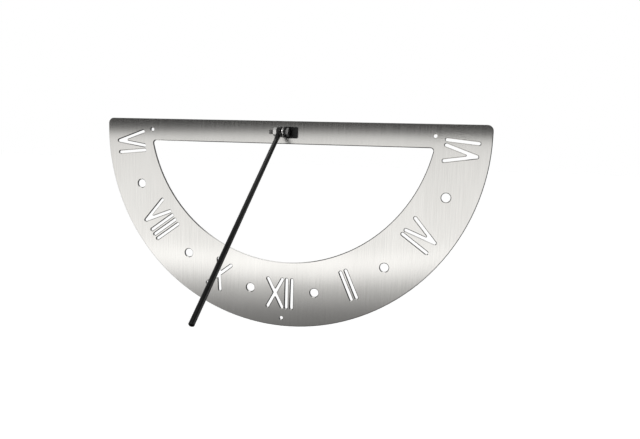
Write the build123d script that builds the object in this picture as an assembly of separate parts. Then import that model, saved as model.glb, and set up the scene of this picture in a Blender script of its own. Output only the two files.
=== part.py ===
"""Vertical wall sundial: a laser-cut steel dial plate and a folding gnomon rod.

Millimetres, +Z up.  The origin is the centre of the dial's outer arc on the back
face of the plate, midway between the two upper fixing holes.  The wall is at
Y = 0 and the dial faces -Y.
"""

import os
from math import atan, cos, degrees, hypot, radians, sin, sqrt

from build123d import *

# Dial plate
PLATE_THICKNESS = 3.0
OUTER_RADIUS = 350.0            # outer arc, about the origin
STRAIGHT_SIDE = 20.0            # upright sides above the arc's ends
TOP_CORNER_RADIUS = 10.0
BAND_HEIGHT = 40.0              # solid band along the top edge
RING_WIDTH = 118.0              # below the half-moon opening, at its lowest point
OPENING_CENTRE_RISE = 30.0      # opening's arc centre above the outer arc's centre
OPENING_CORNER_RADIUS = 5.0

# Fixing holes
FIXING_HOLE_DIAMETER = 6.0
UPPER_FIXING_MARGIN = 91.5      # from each upright side
LOWER_FIXING_MARGIN = 15.0      # from the plate's lowest edge

# Hour scale: rays from the aim point meet a circle that runs along the ring
AIM_RISE = 6.0                  # aim point above the origin
SCALE_INSET = 2.0               # circle inside the middle of the ring
HOUR_RAYS = {1: 11.8, 2: 24.4, 3: 38.2, 4: 54.4, 5: 69.1, 6: 84.2}   # degrees from noon
HOUR_HOLE_DIAMETER = 15.0
NOON_OFFSET = -3.0              # the noon numeral sits left of the centre line

# Numerals
STROKE_WIDTH = 5.0
STROKE_RISE = 51.0              # between the centres of a stroke's round ends
V_SPREAD = 26.0                 # between the heads of the V's arms
X_SPREAD = 27.0
NARROW_LETTER = 10.0            # room that an I takes in a numeral
WIDE_LETTER = 33.4              # room that a V or an X takes
V_NOTCH_RADIUS = 2.0
X_NOTCH_RADIUS = 1.5

# Bracket
BRACKET_THICKNESS = 3.0
BRACKET_WIDTH = 20.0
BRACKET_BEND_RADIUS = 2.0       # inside the bend
TAB_CENTRE_X = 4.0              # standing tab, right of the centre line
FOOT_REACH = 20.0               # foot, from the tab's face
FOOT_CORNER_RADIUS = 3.0
PIVOT_STANDOFF = 15.0           # pivot axis in front of the dial's face

# Bracket screws, countersunk from behind
SCREW_DIAMETER = 4.0
SCREW_HEAD_DIAMETER = 7.6
SCREW_SPACING = 10.0
SCREW_END_MARGIN = 7.5          # from the foot's free end
SCREW_SOCKET = 2.5              # across flats
SCREW_SOCKET_DEPTH = 1.4
SCREW_CLEARANCE = 0.05          # radial

# Pivot bolt, nut and the bush between the bracket and the rod
BOLT_DIAMETER = 8.0
BOLT_LENGTH = 30.0              # under the head
BOLT_HEAD_HEIGHT = 5.3
BOLT_END_CHAMFER = 1.0
HEX_ACROSS_FLATS = 13.0
HEX_CHAMFER_HEIGHT = 0.6
HEX_FACE_SHARE = 0.97           # turned face, as a share of the distance across flats
NUT_HEIGHT = 6.5
NUT_CLEARANCE = 0.05            # radial, over the bolt
BUSH_DIAMETER = 14.0
BUSH_LENGTH = 4.5
BUSH_CHAMFER = 0.5
BUSH_CLEARANCE = 0.2            # radial, over the bolt
BRACKET_BORE_CLEARANCE = 0.1    # radial, over the bolt

# Gnomon rod
ROD_LENGTH = 425.0              # from the back of the eye to the tip
ROD_DIAMETER = 8.0
ROD_TIP_CHAMFER = 0.8
EYE_DIAMETER = 18.0
EYE_THICKNESS = 8.0
EYE_EDGE_RADIUS = 0.8
NECK_WIDTH = 12.0               # flattened neck where it leaves the eye
NECK_START = 5.0                # from the pivot, inside the eye
NECK_END = 26.0                 # where the rod is round again
NECK_INSET = 0.2                # neck below each face of the eye where it starts
NECK_SQUARENESS = 0.9           # 1 would be a plain rectangle
EYE_RUNNING_CLEARANCE = 0.05    # radial, over the bolt
EYE_SIDE_PLAY = 0.1             # each side, to the bush and to the nut
REST_ANGLE = 54.0               # rod from the plane of the dial, degrees

# Sizes and places that follow from the ones above
OPENING_RADIUS = OUTER_RADIUS + OPENING_CENTRE_RISE - RING_WIDTH
SCALE_CENTRE_RISE = OPENING_CENTRE_RISE / 2
SCALE_RADIUS = (OUTER_RADIUS + OPENING_RADIUS) / 2 - SCALE_INSET
UPPER_FIXING_X = OUTER_RADIUS - UPPER_FIXING_MARGIN
FRONT_Y = -PLATE_THICKNESS
PIVOT_Y = FRONT_Y - PIVOT_STANDOFF
TOP_Z = STRAIGHT_SIDE
OPENING_TOP_Z = TOP_Z - BAND_HEIGHT
TAB_LEFT_X = TAB_CENTRE_X - BRACKET_THICKNESS / 2
TAB_RIGHT_X = TAB_CENTRE_X + BRACKET_THICKNESS / 2
BUSH_X = TAB_LEFT_X - BUSH_LENGTH
EYE_RIGHT_X = BUSH_X - EYE_SIDE_PLAY
EYE_LEFT_X = EYE_RIGHT_X - EYE_THICKNESS
NUT_X = EYE_LEFT_X - EYE_SIDE_PLAY - NUT_HEIGHT
SCREW_X = TAB_LEFT_X + FOOT_REACH - SCREW_END_MARGIN

# Flat drawings are made as seen from the front and stood up on the wall
DIAL_FACE = Plane(origin=(0, 0, 0), x_dir=(1, 0, 0), z_dir=(0, -1, 0))

# How close an edge or corner has to be to a line to count as on it
NEAR = 0.01


def along_x(x, y=0.0, z=0.0):
    """Location that turns a solid built along +Z to lie along +X."""
    return Pos(x, y, z) * Rot(0, 90, 0)


def plate_outline():
    r, top = OUTER_RADIUS, TOP_Z
    edges = (
        ThreePointArc((-r, 0), (0, -r), (r, 0))
        + Line((r, 0), (r, top))
        + Line((r, top), (-r, top))
        + Line((-r, top), (-r, 0))
    )
    face = make_face(edges)
    corners = face.vertices().filter_by(lambda v: v.Y > top - NEAR)
    return fillet(corners, TOP_CORNER_RADIUS)


def opening_outline():
    top = OPENING_TOP_Z
    half = sqrt(OPENING_RADIUS**2 - (OPENING_CENTRE_RISE - top) ** 2)
    bottom = OPENING_CENTRE_RISE - OPENING_RADIUS
    edges = ThreePointArc((-half, top), (0, bottom), (half, top)) + Line((half, top), (-half, top))
    face = make_face(edges)
    return fillet(face.vertices(), OPENING_CORNER_RADIUS)


def stroke(foot, head):
    """One cut stroke between the centres of its two round ends."""
    dx, dy = head[0] - foot[0], head[1] - foot[1]
    middle = Pos((head[0] + foot[0]) / 2, (head[1] + foot[1]) / 2)
    lean = 90 - degrees(atan(dx / dy))
    return middle * Rot(0, 0, lean) * SlotCenterToCenter(hypot(dx, dy), STROKE_WIDTH)


def letter_i():
    half = STROKE_RISE / 2
    return stroke((0, -half), (0, half))


def letter_v():
    half = STROKE_RISE / 2
    arms = stroke((0, -half), (-V_SPREAD / 2, half)) + stroke((0, -half), (V_SPREAD / 2, half))
    notch = arms.vertices().filter_by(lambda v: abs(v.X) < NEAR and v.Y > STROKE_WIDTH - half)
    return fillet(notch, V_NOTCH_RADIUS)


def letter_x():
    half, spread = STROKE_RISE / 2, X_SPREAD / 2
    cross = stroke((-spread, -half), (spread, half)) + stroke((spread, -half), (-spread, half))
    notches = cross.vertices().filter_by(lambda v: hypot(v.X, v.Y) < STROKE_RISE / 4)
    return fillet(notches, X_NOTCH_RADIUS)


def numeral(text):
    """Letters side by side, centred, with their middle height at the origin."""
    drawings = {"I": letter_i, "V": letter_v, "X": letter_x}
    rooms = [NARROW_LETTER if letter == "I" else WIDE_LETTER for letter in text]
    left = -sum(rooms) / 2
    drawn = []
    for letter, room in zip(text, rooms):
        drawn.append(Pos(left + room / 2, 0) * drawings[letter]())
        left += room
    return drawn


def scale_place(angle):
    """Where a ray from the aim point meets the hour scale's circle."""
    drop = SCALE_CENTRE_RISE - AIM_RISE
    reach = sqrt(SCALE_RADIUS**2 - (drop * sin(angle)) ** 2) - drop * cos(angle)
    return reach * sin(angle), AIM_RISE - reach * cos(angle)


def hour_numerals():
    """Even hours: numerals whose feet point outwards along their ray."""
    shapes = [Pos(NOON_OFFSET, scale_place(0)[1]) * letter for letter in numeral("XII")]
    marks = [("X", "II", 2), ("VIII", "IV", 4), ("VI", "VI", 6)]
    for morning, afternoon, hour in marks:
        for text, side in ((morning, -1), (afternoon, 1)):
            ray = HOUR_RAYS[hour] * side
            x, y = scale_place(radians(ray))
            shapes += [Pos(x, y) * Rot(0, 0, ray) * letter for letter in numeral(text)]
    return shapes


def hour_holes():
    """Odd hours: round holes."""
    shapes = []
    for hour in (1, 3, 5):
        for side in (-1, 1):
            x, y = scale_place(radians(HOUR_RAYS[hour] * side))
            shapes.append(Pos(x, y) * Circle(HOUR_HOLE_DIAMETER / 2))
    return shapes


def fixing_holes():
    places = [
        (-UPPER_FIXING_X, 0),
        (UPPER_FIXING_X, 0),
        (0, LOWER_FIXING_MARGIN - OUTER_RADIUS),
    ]
    return [Pos(x, y) * Circle(FIXING_HOLE_DIAMETER / 2) for x, y in places]


def screw_places():
    return [(SCREW_X, z) for z in (-SCREW_SPACING / 2, SCREW_SPACING / 2)]


def screw_body(clearance=0.0):
    """Countersunk screw along +Z, head flat at z = 0, point at the foot's face."""
    length = PLATE_THICKNESS + BRACKET_THICKNESS
    radius = SCREW_DIAMETER / 2 + clearance
    head = SCREW_HEAD_DIAMETER / 2 + clearance
    corners = [(0, 0), (head, 0), (radius, head - radius), (radius, length), (0, length)]
    return revolve(Plane.XZ * make_face(Polyline(*corners, close=True)), Axis.Z)


def make_dial_plate():
    sheet = plate_outline() - opening_outline()
    for cut in hour_numerals() + hour_holes() + fixing_holes():
        sheet -= cut
    plate = extrude(DIAL_FACE * sheet, PLATE_THICKNESS)
    for x, z in screw_places():
        plate -= DIAL_FACE * Pos(x, z) * screw_body(SCREW_CLEARANCE)
    return plate


def make_gnomon_bracket():
    """Angle bracket: a foot on the dial and a round-ended tab standing out from it."""
    t, tip_y = BRACKET_THICKNESS, PIVOT_Y - BRACKET_WIDTH / 2
    foot_x = TAB_LEFT_X + FOOT_REACH
    corners = [
        (TAB_LEFT_X, FRONT_Y), (foot_x, FRONT_Y), (foot_x, FRONT_Y - t),
        (TAB_RIGHT_X, FRONT_Y - t), (TAB_RIGHT_X, tip_y), (TAB_LEFT_X, tip_y),
    ]
    section = make_face(Polyline(*corners, close=True))
    inside = section.vertices().sort_by_distance((TAB_RIGHT_X, FRONT_Y - t, 0))[0]
    section = fillet(inside, BRACKET_BEND_RADIUS)
    outside = section.vertices().sort_by_distance((TAB_LEFT_X, FRONT_Y, 0))[0]
    section = fillet(outside, BRACKET_BEND_RADIUS + t)
    bent = extrude(section, BRACKET_WIDTH / 2, both=True)

    tab_side = Plane.YZ * (
        Pos(PIVOT_Y, 0) * Circle(BRACKET_WIDTH / 2)
        + Pos((PIVOT_Y + FRONT_Y) / 2, 0) * Rectangle(PIVOT_STANDOFF, BRACKET_WIDTH)
    )
    bent &= extrude(tab_side, foot_x, both=True)
    free_corners = bent.edges().filter_by(Axis.Y).filter_by(lambda e: e.center().X > foot_x - NEAR)
    bent = fillet(free_corners, FOOT_CORNER_RADIUS)

    bore = BOLT_DIAMETER / 2 + BRACKET_BORE_CLEARANCE
    bent -= along_x(TAB_CENTRE_X, PIVOT_Y) * Cylinder(bore, 2 * t)
    for x, z in screw_places():
        bent -= DIAL_FACE * Pos(x, z) * screw_body(SCREW_CLEARANCE)
    return bent


def make_bracket_screws():
    socket = RegularPolygon(SCREW_SOCKET / 2, 6, major_radius=False)
    screw = screw_body() - extrude(socket, SCREW_SOCKET_DEPTH)
    return Compound([(DIAL_FACE * Pos(x, z) * screw).solid() for x, z in screw_places()])


def hex_blank(height, both_faces):
    """Hexagon from z = 0 upwards with its corners turned off at one or both faces."""
    corner = HEX_ACROSS_FLATS / sqrt(3)
    turned = Pos(0, 0, height / 2) * Cylinder(corner, height)
    rims = turned.edges().filter_by(GeomType.CIRCLE).sort_by(Axis.Z)
    cut_back = corner - HEX_FACE_SHARE * HEX_ACROSS_FLATS / 2
    for rim in (rims if both_faces else rims[-1:]):
        face = turned.faces().filter_by(Axis.Z).sort_by_distance(rim.arc_center)[0]
        turned = chamfer(rim, HEX_CHAMFER_HEIGHT, cut_back, reference=face)
    return turned & extrude(RegularPolygon(HEX_ACROSS_FLATS / 2, 6, major_radius=False), height)


def make_pivot_bolt():
    shank = Pos(0, 0, -BOLT_LENGTH / 2) * Cylinder(BOLT_DIAMETER / 2, BOLT_LENGTH)
    shank = chamfer(shank.edges().sort_by(Axis.Z)[0], BOLT_END_CHAMFER)
    bolt = hex_blank(BOLT_HEAD_HEIGHT, both_faces=False) + shank
    return along_x(TAB_RIGHT_X, PIVOT_Y) * bolt


def make_pivot_nut():
    bore = Cylinder(BOLT_DIAMETER / 2 + NUT_CLEARANCE, 3 * NUT_HEIGHT)
    return along_x(NUT_X, PIVOT_Y) * (hex_blank(NUT_HEIGHT, both_faces=True) - bore)


def make_spacer_bush():
    """Turned ring that holds the rod clear of the bracket."""
    bush = Pos(0, 0, BUSH_LENGTH / 2) * Cylinder(BUSH_DIAMETER / 2, BUSH_LENGTH)
    bush = chamfer(bush.edges().filter_by(GeomType.CIRCLE), BUSH_CHAMFER)
    bush -= Cylinder(BOLT_DIAMETER / 2 + BUSH_CLEARANCE, 3 * BUSH_LENGTH)
    return along_x(BUSH_X, PIVOT_Y) * bush


def cushion_section(half_x, half_y, squareness):
    """Four arcs through (half_x, 0), (0, half_y) and so on; a circle at cos 45."""
    x, y = half_x * squareness, half_y * squareness
    edges = (
        ThreePointArc((x, -y), (half_x, 0), (x, y))
        + ThreePointArc((x, y), (0, half_y), (-x, y))
        + ThreePointArc((-x, y), (-half_x, 0), (-x, -y))
        + ThreePointArc((-x, -y), (0, -half_y), (x, -y))
    )
    return make_face(edges)


def make_gnomon_rod():
    """Round rod whose upper end is forged flat into a drilled eye."""
    tip_z = EYE_DIAMETER / 2 - ROD_LENGTH
    rod_length = -NECK_END - tip_z
    rod = Pos(0, 0, tip_z + rod_length / 2) * Cylinder(ROD_DIAMETER / 2, rod_length)
    rod = chamfer(rod.edges().sort_by(Axis.Z)[0], ROD_TIP_CHAMFER)

    eye = Rot(0, 90, 0) * Cylinder(EYE_DIAMETER / 2, EYE_THICKNESS)
    eye = fillet(eye.edges().filter_by(GeomType.CIRCLE), EYE_EDGE_RADIUS)
    blade = cushion_section(EYE_THICKNESS / 2 - NECK_INSET, NECK_WIDTH / 2, NECK_SQUARENESS)
    round_end = cushion_section(ROD_DIAMETER / 2, ROD_DIAMETER / 2, cos(radians(45)))
    neck = loft([Pos(0, 0, -NECK_START) * blade, Pos(0, 0, -NECK_END) * round_end])
    gnomon = rod + neck + eye
    gnomon -= Rot(0, 90, 0) * Cylinder(BOLT_DIAMETER / 2 + EYE_RUNNING_CLEARANCE, 3 * EYE_THICKNESS)
    return Pos((EYE_LEFT_X + EYE_RIGHT_X) / 2, PIVOT_Y, 0) * Rot(-REST_ANGLE, 0, 0) * gnomon


PIECES = {
    "dial_plate": make_dial_plate(),
    "gnomon_bracket": make_gnomon_bracket(),
    "bracket_screws": make_bracket_screws(),
    "pivot_bolt": make_pivot_bolt(),
    "spacer_bush": make_spacer_bush(),
    "pivot_nut": make_pivot_nut(),
    "gnomon_rod": make_gnomon_rod(),
}

os.makedirs("parts", exist_ok=True)
for name, piece in PIECES.items():
    export_step(piece, f"parts/{name}.step")
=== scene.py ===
"""Looks of the wall sundial: a brushed plate, bright fasteners and a satin black rod.

Metres, in the part's own frame: the wall is at Y = 0, the dial faces -Y and +Z is up.
"""

import math

import bmesh
import bpy
from mathutils import Matrix, Vector


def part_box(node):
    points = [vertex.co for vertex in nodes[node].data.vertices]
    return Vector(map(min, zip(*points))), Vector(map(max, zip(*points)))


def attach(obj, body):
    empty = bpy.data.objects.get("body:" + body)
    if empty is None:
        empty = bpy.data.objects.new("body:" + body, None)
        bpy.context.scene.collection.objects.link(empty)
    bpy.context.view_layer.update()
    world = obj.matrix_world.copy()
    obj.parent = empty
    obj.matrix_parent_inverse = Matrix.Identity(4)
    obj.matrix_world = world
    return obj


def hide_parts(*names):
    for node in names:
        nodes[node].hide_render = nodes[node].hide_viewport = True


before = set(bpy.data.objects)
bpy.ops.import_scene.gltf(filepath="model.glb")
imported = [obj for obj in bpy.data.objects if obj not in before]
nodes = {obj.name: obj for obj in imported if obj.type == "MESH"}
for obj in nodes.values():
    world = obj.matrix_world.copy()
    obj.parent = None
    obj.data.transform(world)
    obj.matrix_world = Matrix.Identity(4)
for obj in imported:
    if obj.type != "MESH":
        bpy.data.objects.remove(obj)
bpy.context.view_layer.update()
scene = bpy.context.scene

MM = 0.001

# Camera, as it stood for the photograph
CAMERA_AZIMUTH = 13.1           # degrees to the right of the dial's centre line
CAMERA_ELEVATION = 6.75
CAMERA_ROLL = 1.85
CAMERA_AIM = (0.067, -0.003, -0.150)
CAMERA_DISTANCE = 0.986
CAMERA_LENS = 31.5              # millimetres
SENSOR_WIDTH = 36.0

# Studio: brightness of the surroundings by the sine of the height above the horizon
FRONT_BANDS = [
    (-0.40, 0.03), (-0.35, 0.12), (-0.32, 0.15), (-0.28, 0.255), (-0.24, 0.60), (-0.215, 1.08),
    (-0.195, 1.20), (-0.172, 0.95), (-0.08, 0.89), (0.00, 0.81), (0.016, 0.80), (0.0213, 0.78),
    (0.0278, 0.72), (0.0315, 0.60), (0.0351, 0.36), (0.0388, 0.18), (0.0425, 0.10),
    (0.050, 0.05), (0.16, 0.04), (0.32, 0.10), (0.40, 0.10),
]
BACK_BANDS = [(-0.90, 0.03), (-0.70, 0.30), (-0.30, 0.45), (0.05, 0.60), (0.14, 0.95),
              (0.28, 0.95), (0.40, 0.45)]
FRONT_REACH, BACK_REACH = 0.40, 0.90    # the bands lie between minus and plus this height
# The front bands close up to both sides, by this much per unit squared from this place,
# and slope down to the right
BAND_BEND, BAND_BEND_CENTRE = 1.9, -0.23
BAND_SLOPE, BAND_SLOPE_CENTRE = 0.018, -0.29
# Bright places: from and to this far, and how bright it is there
BACK_ZENITH = (0.90, 0.97, 5.0)         # by height, times the back bands
# Windows in front: first by height, then by the distance towards the wall
LOW_WINDOW = ((-0.42, -0.50, 2.0), (-0.55, -0.68, 1.0))
HIGH_WINDOW = ((0.86, 0.93, 0.9), (-0.06, -0.14, 1.0))
# Darker sides: from and to this far sideways, and how bright it is there
FRONT_RIGHT_SIDE = (0.80, 0.93, 0.03)
BACK_LEFT_SIDE = (-0.72, -0.82, 0.85)
BACK_RIGHT_SIDE = (0.10, 0.24, 0.30)
BACK_RIGHT_END = (0.66, 0.56, 0.30)     # and bright again further out
BEHIND = (0.12, 0.30)           # from front to back, by the distance towards the wall
FLOOR_HEIGHT = -0.9
FLOOR_HALF_SIZE = 40.0
KEY_PLACE, KEY_SIZE, KEY_POWER = (-1.1, -1.3, 1.1), 0.9, 8.0

# Broken edges
PLATE_FRONT_EDGE = 1.3 * MM
PLATE_BACK_EDGE = 0.3 * MM
SMALL_EDGE = 0.25 * MM
MERGE = 0.001 * MM              # vertices closer than this are the same
SHARP_ANGLE = math.radians(28)

# Thread of the pivot bolt
BOLT_RADIUS = 4.0 * MM
THREAD_ROOT_RADIUS = 3.35 * MM
THREAD_PITCH = 1.25 * MM
THREAD_LENGTH = 22.0 * MM
HEAD_HEIGHT = 5.3 * MM

# Hexagons of the bolt's head and of the nut
ACROSS_FLATS = 13.0 * MM
FACE_RADIUS = 0.95 * ACROSS_FLATS / 2   # turned circle on a hexagon's end
TURNED_SLOPE = math.tan(math.radians(30))
ROUND_STEPS = 96                # steps round every turned piece
NUT_STEPS_TURNED = 1            # the nut's flats don't line up with the head's
NUT_BORE_RADIUS = 4.05 * MM
NUT_BORE_CHAMFER = 0.4 * MM


def add(tree, kind, inputs=(), **settings):
    """Adds a node. Inputs are values, or other nodes' outputs to link to."""
    made = tree.nodes.new(kind)
    for key, value in settings.items():
        setattr(made, key, value)
    for key, value in dict(inputs).items():
        if isinstance(value, bpy.types.NodeSocket):
            tree.links.new(value, made.inputs[key])
        else:
            made.inputs[key].default_value = value
    return made


def math_node(tree, operation, a, b=0.0):
    return add(tree, "ShaderNodeMath", {0: a, 1: b}, operation=operation).outputs[0]


def noise(tree, stretch, detail=2.0, roughness=0.5):
    """Noise in the part's frame, with its own count per metre along X, Y and Z."""
    place = add(tree, "ShaderNodeTexCoord").outputs["Object"]
    stretched = add(tree, "ShaderNodeMapping", {"Vector": place, "Scale": stretch}).outputs[0]
    settings = {"Vector": stretched, "Scale": 1.0, "Detail": detail, "Roughness": roughness}
    return add(tree, "ShaderNodeTexNoise", settings).outputs[0]


def spread(tree, value, low, high, start=0.3, end=0.7):
    """A value between start and end, spread from low to high."""
    inputs = {"Value": value, "From Min": start, "From Max": end, "To Min": low, "To Max": high}
    return add(tree, "ShaderNodeMapRange", inputs).outputs[0]


def mix(tree, factor, a, b):
    made = add(tree, "ShaderNodeMix", {0: factor, 6: a, 7: b}, data_type="RGBA")
    return made.outputs[2]


def bump(tree, height, distance, strength=1.0, normal=None):
    inputs = {"Height": height, "Distance": distance, "Strength": strength}
    if normal is not None:
        inputs["Normal"] = normal
    return add(tree, "ShaderNodeBump", inputs).outputs[0]


def new_material(name, **constants):
    """A material with one Principled shader, and the constants set on its own sockets."""
    material = bpy.data.materials.new(name)
    material.use_nodes = True
    tree = material.node_tree
    shader = tree.nodes["Principled BSDF"]
    for key, value in constants.items():
        shader.inputs[key.replace("_", " ")].default_value = value
    return material, tree, shader


def connect(tree, shader, **outputs):
    for key, output in outputs.items():
        tree.links.new(output, shader.inputs[key.replace("_", " ")])


def brushed_plate_material():
    """Sheet brushed from top to bottom, so reflections spread from side to side."""
    material, tree, shader = new_material("brushed_plate", Metallic=1.0, Anisotropic=1.0)
    fine = noise(tree, (3200, 60, 22), 3.0, 0.6)
    lines = noise(tree, (620, 20, 13), 3.0, 0.6)
    clouds = noise(tree, (9, 9, 5), 3.0)
    tone = math_node(tree, "ADD", math_node(tree, "MULTIPLY", lines, 0.6), math_node(tree, "MULTIPLY", clouds, 0.4))
    colour = mix(tree, spread(tree, tone, 0, 1, 0.35, 0.65), (0.82, 0.806, 0.775, 1), (0.93, 0.915, 0.882, 1))
    rough = spread(tree, math_node(tree, "ADD", fine, lines), 0.095, 0.145, 0.7, 1.3)
    along_x = add(tree, "ShaderNodeCombineXYZ", {"X": 1.0}).outputs[0]
    relief = bump(tree, math_node(tree, "ADD", fine, lines), 0.00003, 1.0)
    connect(tree, shader, Base_Color=colour, Roughness=rough, Tangent=along_x, Normal=relief)
    return material


def broken_edge_material():
    """Narrow smooth edge, rubbed bright."""
    material, tree, shader = new_material("broken_edge", Metallic=1.0)
    rub = noise(tree, (300, 300, 300), 3.0)
    colour = mix(tree, spread(tree, rub, 0, 1), (0.70, 0.69, 0.67, 1), (0.84, 0.83, 0.80, 1))
    connect(tree, shader, Base_Color=colour, Roughness=spread(tree, rub, 0.09, 0.16))
    return material


def cut_edge_material():
    """Laser-cut wall: duller, with fine lines across the sheet's thickness. Its colour is darker than the sheet's
    as painted shade on the walls of the cuts.
    """
    material, tree, shader = new_material("cut_edge", Metallic=1.0)
    lines = noise(tree, (1800, 60, 1800), 2.0)
    # dark wall colours: painted shade in the cuts; the fine lines that vary them are real cut marks
    colour = mix(tree, spread(tree, lines, 0, 1), (0.24, 0.235, 0.23, 1), (0.38, 0.373, 0.365, 1))
    connect(tree, shader, Base_Color=colour, Roughness=spread(tree, lines, 0.22, 0.36),
            Normal=bump(tree, lines, 0.00004, 0.6))
    return material


def steel_material(name, dull, bright):
    """Steel with rolled and turned marks and a few dull patches."""
    material, tree, shader = new_material(name, Metallic=1.0)
    fine = noise(tree, (2400, 900, 900), 3.0, 0.6)
    clouds = noise(tree, (220, 220, 220), 4.0, 0.6)
    colour = mix(tree, spread(tree, clouds, 0, 1), dull, bright)
    connect(tree, shader, Base_Color=colour,
            Roughness=spread(tree, math_node(tree, "ADD", fine, clouds), 0.14, 0.34, 0.7, 1.3),
            Normal=bump(tree, fine, 0.00002, 0.4))
    return material


def satin_black_material():
    """Satin black coat over a drawn bar: soft long clouds and fine orange peel."""
    material, tree, shader = new_material("satin_black", Metallic=0.0, Specular_IOR_Level=0.5)
    peel = noise(tree, (900, 900, 900), 3.0)
    clouds = noise(tree, (40, 40, 40), 4.0, 0.6)
    colour = mix(tree, spread(tree, clouds, 0, 1), (0.005, 0.005, 0.005, 1), (0.012, 0.012, 0.011, 1))
    connect(tree, shader, Base_Color=colour,
            Roughness=spread(tree, math_node(tree, "ADD", peel, clouds), 0.18, 0.27, 0.7, 1.3),
            Normal=bump(tree, peel, 0.00003, 0.35))
    return material


def give(node, *materials):
    slots = nodes[node].data.materials
    slots.clear()
    for material in materials:
        slots.append(material)


def break_edges(node, width, segments=2):
    """Welds the node's facets and breaks its sharp edges, as modifiers only."""
    piece = nodes[node]
    weld = piece.modifiers.new("weld", "WELD")
    weld.merge_threshold = 0.002 * MM
    flat = piece.modifiers.new("flat", "DECIMATE")
    flat.decimate_type = "DISSOLVE"
    flat.angle_limit = math.radians(0.3)
    edge = piece.modifiers.new("edge", "BEVEL")
    edge.width = width
    edge.segments = segments
    edge.limit_method = "ANGLE"
    edge.angle_limit = math.radians(40)
    edge.use_clamp_overlap = False
    edge.harden_normals = True


def new_piece(name, mesh_data, materials, body, replaced):
    mesh = bpy.data.meshes.new(name)
    bmesh.ops.recalc_face_normals(mesh_data, faces=mesh_data.faces)
    mesh_data.to_mesh(mesh)
    mesh_data.free()
    for material in materials:
        mesh.materials.append(material)
    mesh.set_sharp_from_angle(angle=SHARP_ANGLE)
    piece = bpy.data.objects.new(name, mesh)
    scene.collection.objects.link(piece)
    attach(piece, body)
    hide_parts(replaced)
    return piece


def ring(mesh, axial, radii, centre, shifts=None):
    """A ring of vertices round the X axis, one at each radius, each shifted along X."""
    count = len(radii)
    made = []
    for step, (radius, shift) in enumerate(zip(radii, shifts or [0] * count)):
        angle = math.tau * step / count
        offset = (axial + shift, radius * math.cos(angle), radius * math.sin(angle))
        made.append(mesh.verts.new(centre + Vector(offset)))
    return made


def hexagon(steps_turned=0):
    """Distance from the axis to a hexagon's sides, at each step round it."""
    radii = []
    for step in range(ROUND_STEPS):
        angle = math.tau * (step - steps_turned) / ROUND_STEPS
        from_flat = (angle + math.pi / 6) % (math.pi / 3) - math.pi / 6
        radii.append(ACROSS_FLATS / 2 / math.cos(from_flat))
    return radii


def turned_end(mesh, axial, outwards, radii, centre):
    """The two rings of a hexagon's turned end: the curved edge and the circle inside it."""
    shifts = [-outwards * max(radius - FACE_RADIUS, 0) * TURNED_SLOPE for radius in radii]
    edge = ring(mesh, axial, radii, centre, shifts)
    return edge, ring(mesh, axial, [FACE_RADIUS] * ROUND_STEPS, centre)


def bridge(mesh, first, second, material=0):
    """Smooth quads between two rings of as many vertices."""
    count = len(first)
    for i in range(count):
        j = (i + 1) % count
        quad = mesh.faces.new((first[i], second[i], second[j], first[j]))
        quad.smooth, quad.material_index = True, material


def outlines(node, facing):
    """Closed outlines of a node's flat side that faces along Y (-1 front, 1 back)."""
    data = nodes[node].data
    sides, points = set(), {}
    for polygon in data.polygons:
        if polygon.normal.y * facing > 0.999:
            keys = []
            for index in polygon.vertices:
                place = data.vertices[index].co
                keys.append((round(place.x / MERGE), round(place.z / MERGE)))
                points[keys[-1]] = place.copy()
            sides.update(zip(keys, keys[1:] + keys[:1]))
    following = {first: second for first, second in sides if (second, first) not in sides}
    loops = []
    while following:
        start, here = following.popitem()
        loop = [start]
        while here != start:
            loop.append(here)
            here = following.pop(here)
        loops.append([points[key] for key in loop])
    return loops


def inset(loop, width):
    """The outline moved into the sheet, which lies on its left as seen from the front."""
    moved = []
    for before, here, after in zip(loop[-1:] + loop[:-1], loop, loop[1:] + loop[:1]):
        first, second = (here - before).normalized(), (after - here).normalized()
        left = Vector((-first.z - second.z, 0, first.x + second.x)).normalized()
        moved.append(here + left * width / left.dot(Vector((-first.z, 0, first.x))))
    return moved


def closed_edges(mesh, corners):
    return [mesh.edges.get(pair) or mesh.edges.new(pair) for pair in zip(corners, corners[1:] + corners[:1])]


def make_plate(materials):
    """The dial's sheet with a chamfer along every cut. Materials: face, wall, chamfer."""
    low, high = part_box("dial_plate")
    mesh = bmesh.new()
    front_loops, back_loops = outlines("dial_plate", -1), outlines("dial_plate", 1)
    back_points = [point for loop in back_loops for point in loop]
    through, front_rims, back_rims = [], [], []

    def meets(loop, points):
        return any(math.hypot(loop[0].x - p.x, loop[0].z - p.z) < 0.01 * MM for p in points)

    for loop in front_loops:
        if not meets(loop, back_points):
            front_rims.append([mesh.verts.new((p.x, low.y, p.z)) for p in loop])
            continue
        through += loop
        levels = [
            (inset(loop, PLATE_FRONT_EDGE), low.y), (loop, low.y + PLATE_FRONT_EDGE),
            (loop, high.y - PLATE_BACK_EDGE), (inset(loop, PLATE_BACK_EDGE), high.y),
        ]
        rings = [[mesh.verts.new((p.x, y, p.z)) for p in points] for points, y in levels]
        for first, second, material in zip(rings, rings[1:], (2, 1, 2)):
            bridge(mesh, first, second, material)
        front_rims.append(rings[0])
        back_rims.append(rings[-1])
    for loop in back_loops:
        if not meets(loop, through):
            back_rims.append([mesh.verts.new((p.x, high.y, p.z)) for p in loop])

    for rims in (front_rims, back_rims):
        edges = [edge for rim in rims for edge in closed_edges(mesh, rim)]
        bmesh.ops.triangle_fill(mesh, edges=edges, use_beauty=True)

    data = nodes["dial_plate"].data
    for polygon in data.polygons:
        corners = [data.vertices[index].co for index in polygon.vertices]
        if abs(polygon.normal.y) < 0.999 and not meets([corners[0]], through):
            wall = mesh.faces.new([mesh.verts.new(corner) for corner in corners])
            wall.smooth, wall.material_index = True, 1
    bmesh.ops.remove_doubles(mesh, verts=mesh.verts, dist=MERGE)
    return new_piece("brushed_dial", mesh, materials, "dial", "dial_plate")


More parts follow.
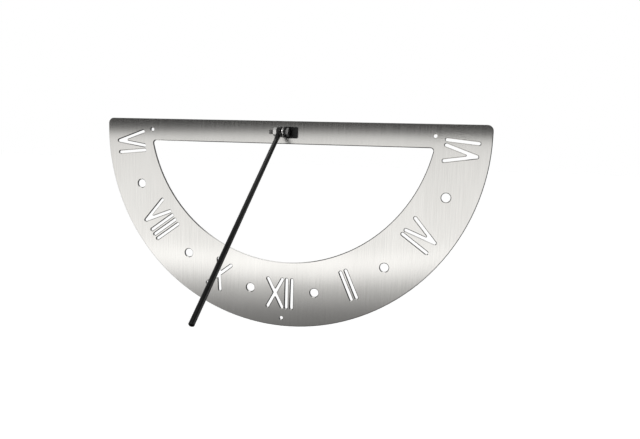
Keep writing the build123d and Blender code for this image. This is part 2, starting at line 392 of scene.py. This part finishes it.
def make_bolt(material):
    """Hexagon bolt along X, head on the right, with its thread to the left end."""
    low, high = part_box("pivot_bolt")
    centre = Vector((0, (low.y + high.y) / 2, (low.z + high.z) / 2))
    sides, samples = ROUND_STEPS, 10
    mesh = bmesh.new()

    head_left = high.x - HEAD_HEIGHT
    neck = ring(mesh, head_left, [BOLT_RADIUS] * sides, centre)
    feet = ring(mesh, head_left, hexagon(), centre)
    edge, face_rim = turned_end(mesh, high.x, 1, hexagon(), centre)
    for first, second in ((neck, feet), (feet, edge), (edge, face_rim)):
        bridge(mesh, first, second)
    mesh.faces.new(reversed(face_rim))

    previous = neck
    thread_start = low.x + THREAD_LENGTH
    steps = round(THREAD_LENGTH / THREAD_PITCH * samples)
    for step in range(steps + 1):
        x = thread_start - THREAD_LENGTH * step / steps
        radii = []
        for side in range(sides):
            turns = (thread_start - x) / THREAD_PITCH + side / sides
            wave = abs(2 * (turns % 1.0) - 1)
            flank = min(max((wave - 0.12) / 0.74, 0), 1)
            run_in = min((thread_start - x) / THREAD_PITCH, 1)
            depth = (BOLT_RADIUS - THREAD_ROOT_RADIUS) * flank * run_in
            end_limit = THREAD_ROOT_RADIUS + max(x - low.x, 0) * 0.9
            radii.append(min(BOLT_RADIUS - depth, end_limit))
        current = ring(mesh, x, radii, centre)
        bridge(mesh, current, previous)
        previous = current
    mesh.faces.new(previous)
    for face in mesh.faces:
        face.smooth = True
    return new_piece("hexagon_bolt", mesh, [material], "dial", "pivot_bolt")


def make_nut(material):
    """Hexagon nut along X, turned at both ends, with the bore's edges broken."""
    low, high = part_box("pivot_nut")
    centre = Vector((0, (low.y + high.y) / 2, (low.z + high.z) / 2))
    mesh = bmesh.new()
    rings = []
    for axial, outwards in ((low.x, -1), (high.x, 1)):
        edge, rim = turned_end(mesh, axial, outwards, hexagon(NUT_STEPS_TURNED), centre)
        mouth = ring(mesh, axial, [NUT_BORE_RADIUS + NUT_BORE_CHAMFER] * ROUND_STEPS, centre)
        inside = axial - outwards * NUT_BORE_CHAMFER
        bore = ring(mesh, inside, [NUT_BORE_RADIUS] * ROUND_STEPS, centre)
        rings += [bore, mouth, rim, edge][::-outwards]
    for first, second in zip(rings, rings[1:] + rings[:1]):
        bridge(mesh, first, second)
    return new_piece("hexagon_nut", mesh, [material], "dial", "pivot_nut")


def band_levels(tree, height, stops, reach):
    """Brightness by height, from a list of (sine of the height, brightness)."""
    bands = add(tree, "ShaderNodeValToRGB", {"Fac": spread(tree, height, 0, 1, -reach, reach)})
    elements = bands.color_ramp.elements
    while len(elements) < len(stops):
        elements.new(0.5)
    for element, (sine, level) in zip(elements, stops):
        element.position = (sine + reach) / (2 * reach)
        element.color = (level, level, level, 1)
    return bands.outputs["Color"]


def make_world():
    """Even white to the camera. Lights and reflections see bands of bright and dark."""
    world = bpy.data.worlds.new("studio")
    scene.world = world
    world.use_nodes = True
    tree = world.node_tree
    tree.nodes.clear()
    direction = add(tree, "ShaderNodeTexCoord").outputs["Generated"]
    split = add(tree, "ShaderNodeSeparateXYZ", {0: direction})
    sideways = math_node(tree, "SUBTRACT", split.outputs["X"], BAND_BEND_CENTRE)
    bend = math_node(tree, "MULTIPLY", math_node(tree, "POWER", sideways, 2.0), BAND_BEND)
    bent = math_node(tree, "MULTIPLY", split.outputs["Z"], math_node(tree, "ADD", bend, 1.0))
    rightwards = math_node(tree, "SUBTRACT", split.outputs["X"], BAND_SLOPE_CENTRE)
    sloped = math_node(tree, "SUBTRACT", bent, math_node(tree, "MULTIPLY", rightwards, BAND_SLOPE))
    behind = spread(tree, split.outputs["Y"], 0, 1, *BEHIND)
    front = band_levels(tree, sloped, FRONT_BANDS, FRONT_REACH)
    back = band_levels(tree, split.outputs["Z"], BACK_BANDS, BACK_REACH)
    for by_height, by_depth in (LOW_WINDOW, HIGH_WINDOW):
        tall, deep = (
            spread(tree, split.outputs[axis], 0, level, start, end)
            for axis, (start, end, level) in (("Z", by_height), ("Y", by_depth))
        )
        window = math_node(tree, "MULTIPLY", tall, deep)
        front = add(tree, "ShaderNodeVectorMath", {0: front, 1: window}, operation="ADD").outputs[0]
    front_right, back_left, back_right, back_end = (
        spread(tree, split.outputs["X"], 1, level, start, end)
        for start, end, level in (FRONT_RIGHT_SIDE, BACK_LEFT_SIDE, BACK_RIGHT_SIDE, BACK_RIGHT_END)
    )
    back_window = math_node(tree, "MAXIMUM", back_right, back_end)
    start, end, level = BACK_ZENITH
    zenith = spread(tree, split.outputs["Z"], 1, level, start, end)
    back_sides = math_node(tree, "MULTIPLY", math_node(tree, "MULTIPLY", back_left, back_window), zenith)
    side = spread(tree, behind, front_right, back_sides, 0, 1)
    lit = add(tree, "ShaderNodeBackground", {"Color": mix(tree, behind, front, back), "Strength": side})
    plain = add(tree, "ShaderNodeBackground", {"Color": (1, 1, 1, 1), "Strength": 1.0})
    seen = add(tree, "ShaderNodeLightPath").outputs["Is Camera Ray"]
    both = add(tree, "ShaderNodeMixShader", {0: seen, 1: lit.outputs[0], 2: plain.outputs[0]})
    add(tree, "ShaderNodeOutputWorld", {"Surface": both.outputs[0]})


def make_floor():
    """Plain pale floor, white to the camera apart from shadows."""
    mesh = bpy.data.meshes.new("floor")
    half = FLOOR_HALF_SIZE
    corners = [(-half, -half), (half, -half), (half, half), (-half, half)]
    mesh.from_pydata([(x, y, FLOOR_HEIGHT) for x, y in corners], [], [(0, 1, 2, 3)])
    floor = bpy.data.objects.new("floor", mesh)
    scene.collection.objects.link(floor)
    floor.visible_glossy = False
    material = bpy.data.materials.new("floor")
    material.use_nodes = True
    tree = material.node_tree
    tree.nodes.clear()
    pale = add(tree, "ShaderNodeBsdfDiffuse", {"Color": (0.7, 0.7, 0.7, 1)})
    seen = add(tree, "ShaderNodeLightPath").outputs["Is Camera Ray"]
    glow = add(tree, "ShaderNodeEmission", {"Strength": math_node(tree, "MULTIPLY", seen, 0.80)})
    both = add(tree, "ShaderNodeAddShader", {0: pale.outputs[0], 1: glow.outputs[0]})
    add(tree, "ShaderNodeOutputMaterial", {"Surface": both.outputs[0]})
    mesh.materials.append(material)


def make_lamp(name, place, size, power):
    data = bpy.data.lights.new(name, "AREA")
    data.size, data.energy = size, power
    lamp = bpy.data.objects.new(name, data)
    lamp.location = place
    lamp.rotation_euler = (Vector(CAMERA_AIM) - Vector(place)).to_track_quat("-Z", "Y").to_euler()
    scene.collection.objects.link(lamp)


def make_camera():
    azimuth, elevation, roll = (
        math.radians(a) for a in (CAMERA_AZIMUTH, CAMERA_ELEVATION, CAMERA_ROLL)
    )
    right = Vector((math.cos(azimuth), math.sin(azimuth), 0))
    forward = Vector((
        -math.sin(azimuth) * math.cos(elevation),
        math.cos(azimuth) * math.cos(elevation),
        -math.sin(elevation),
    ))
    up = right.cross(forward)
    turned_right = right * math.cos(roll) + up * math.sin(roll)
    turned_up = up * math.cos(roll) - right * math.sin(roll)
    data = bpy.data.cameras.new("camera")
    data.lens, data.sensor_width = CAMERA_LENS, SENSOR_WIDTH
    data.clip_start, data.clip_end = 0.01, 200.0
    camera = bpy.data.objects.new("camera", data)
    axes = Matrix((turned_right, turned_up, -forward)).transposed().to_4x4()
    camera.matrix_world = Matrix.Translation(Vector(CAMERA_AIM) - forward * CAMERA_DISTANCE) @ axes
    scene.collection.objects.link(camera)
    scene.camera = camera


scene.view_settings.view_transform = "Standard"
fastener_steel = steel_material("fastener_steel", (0.68, 0.67, 0.65, 1), (0.92, 0.91, 0.89, 1))
bolt_steel = steel_material("bolt_steel", (0.22, 0.217, 0.21, 1), (0.44, 0.435, 0.43, 1))
satin_black = satin_black_material()

for name in ("gnomon_bracket", "bracket_screws", "gnomon_rod"):
    give(name, satin_black)
give("spacer_bush", fastener_steel)

for name in ("gnomon_bracket", "spacer_bush"):
    break_edges(name, SMALL_EDGE)
make_plate([brushed_plate_material(), cut_edge_material(), broken_edge_material()])
make_bolt(bolt_steel)
make_nut(fastener_steel)

make_world()
make_floor()
make_lamp("key", KEY_PLACE, KEY_SIZE, KEY_POWER)
make_camera()
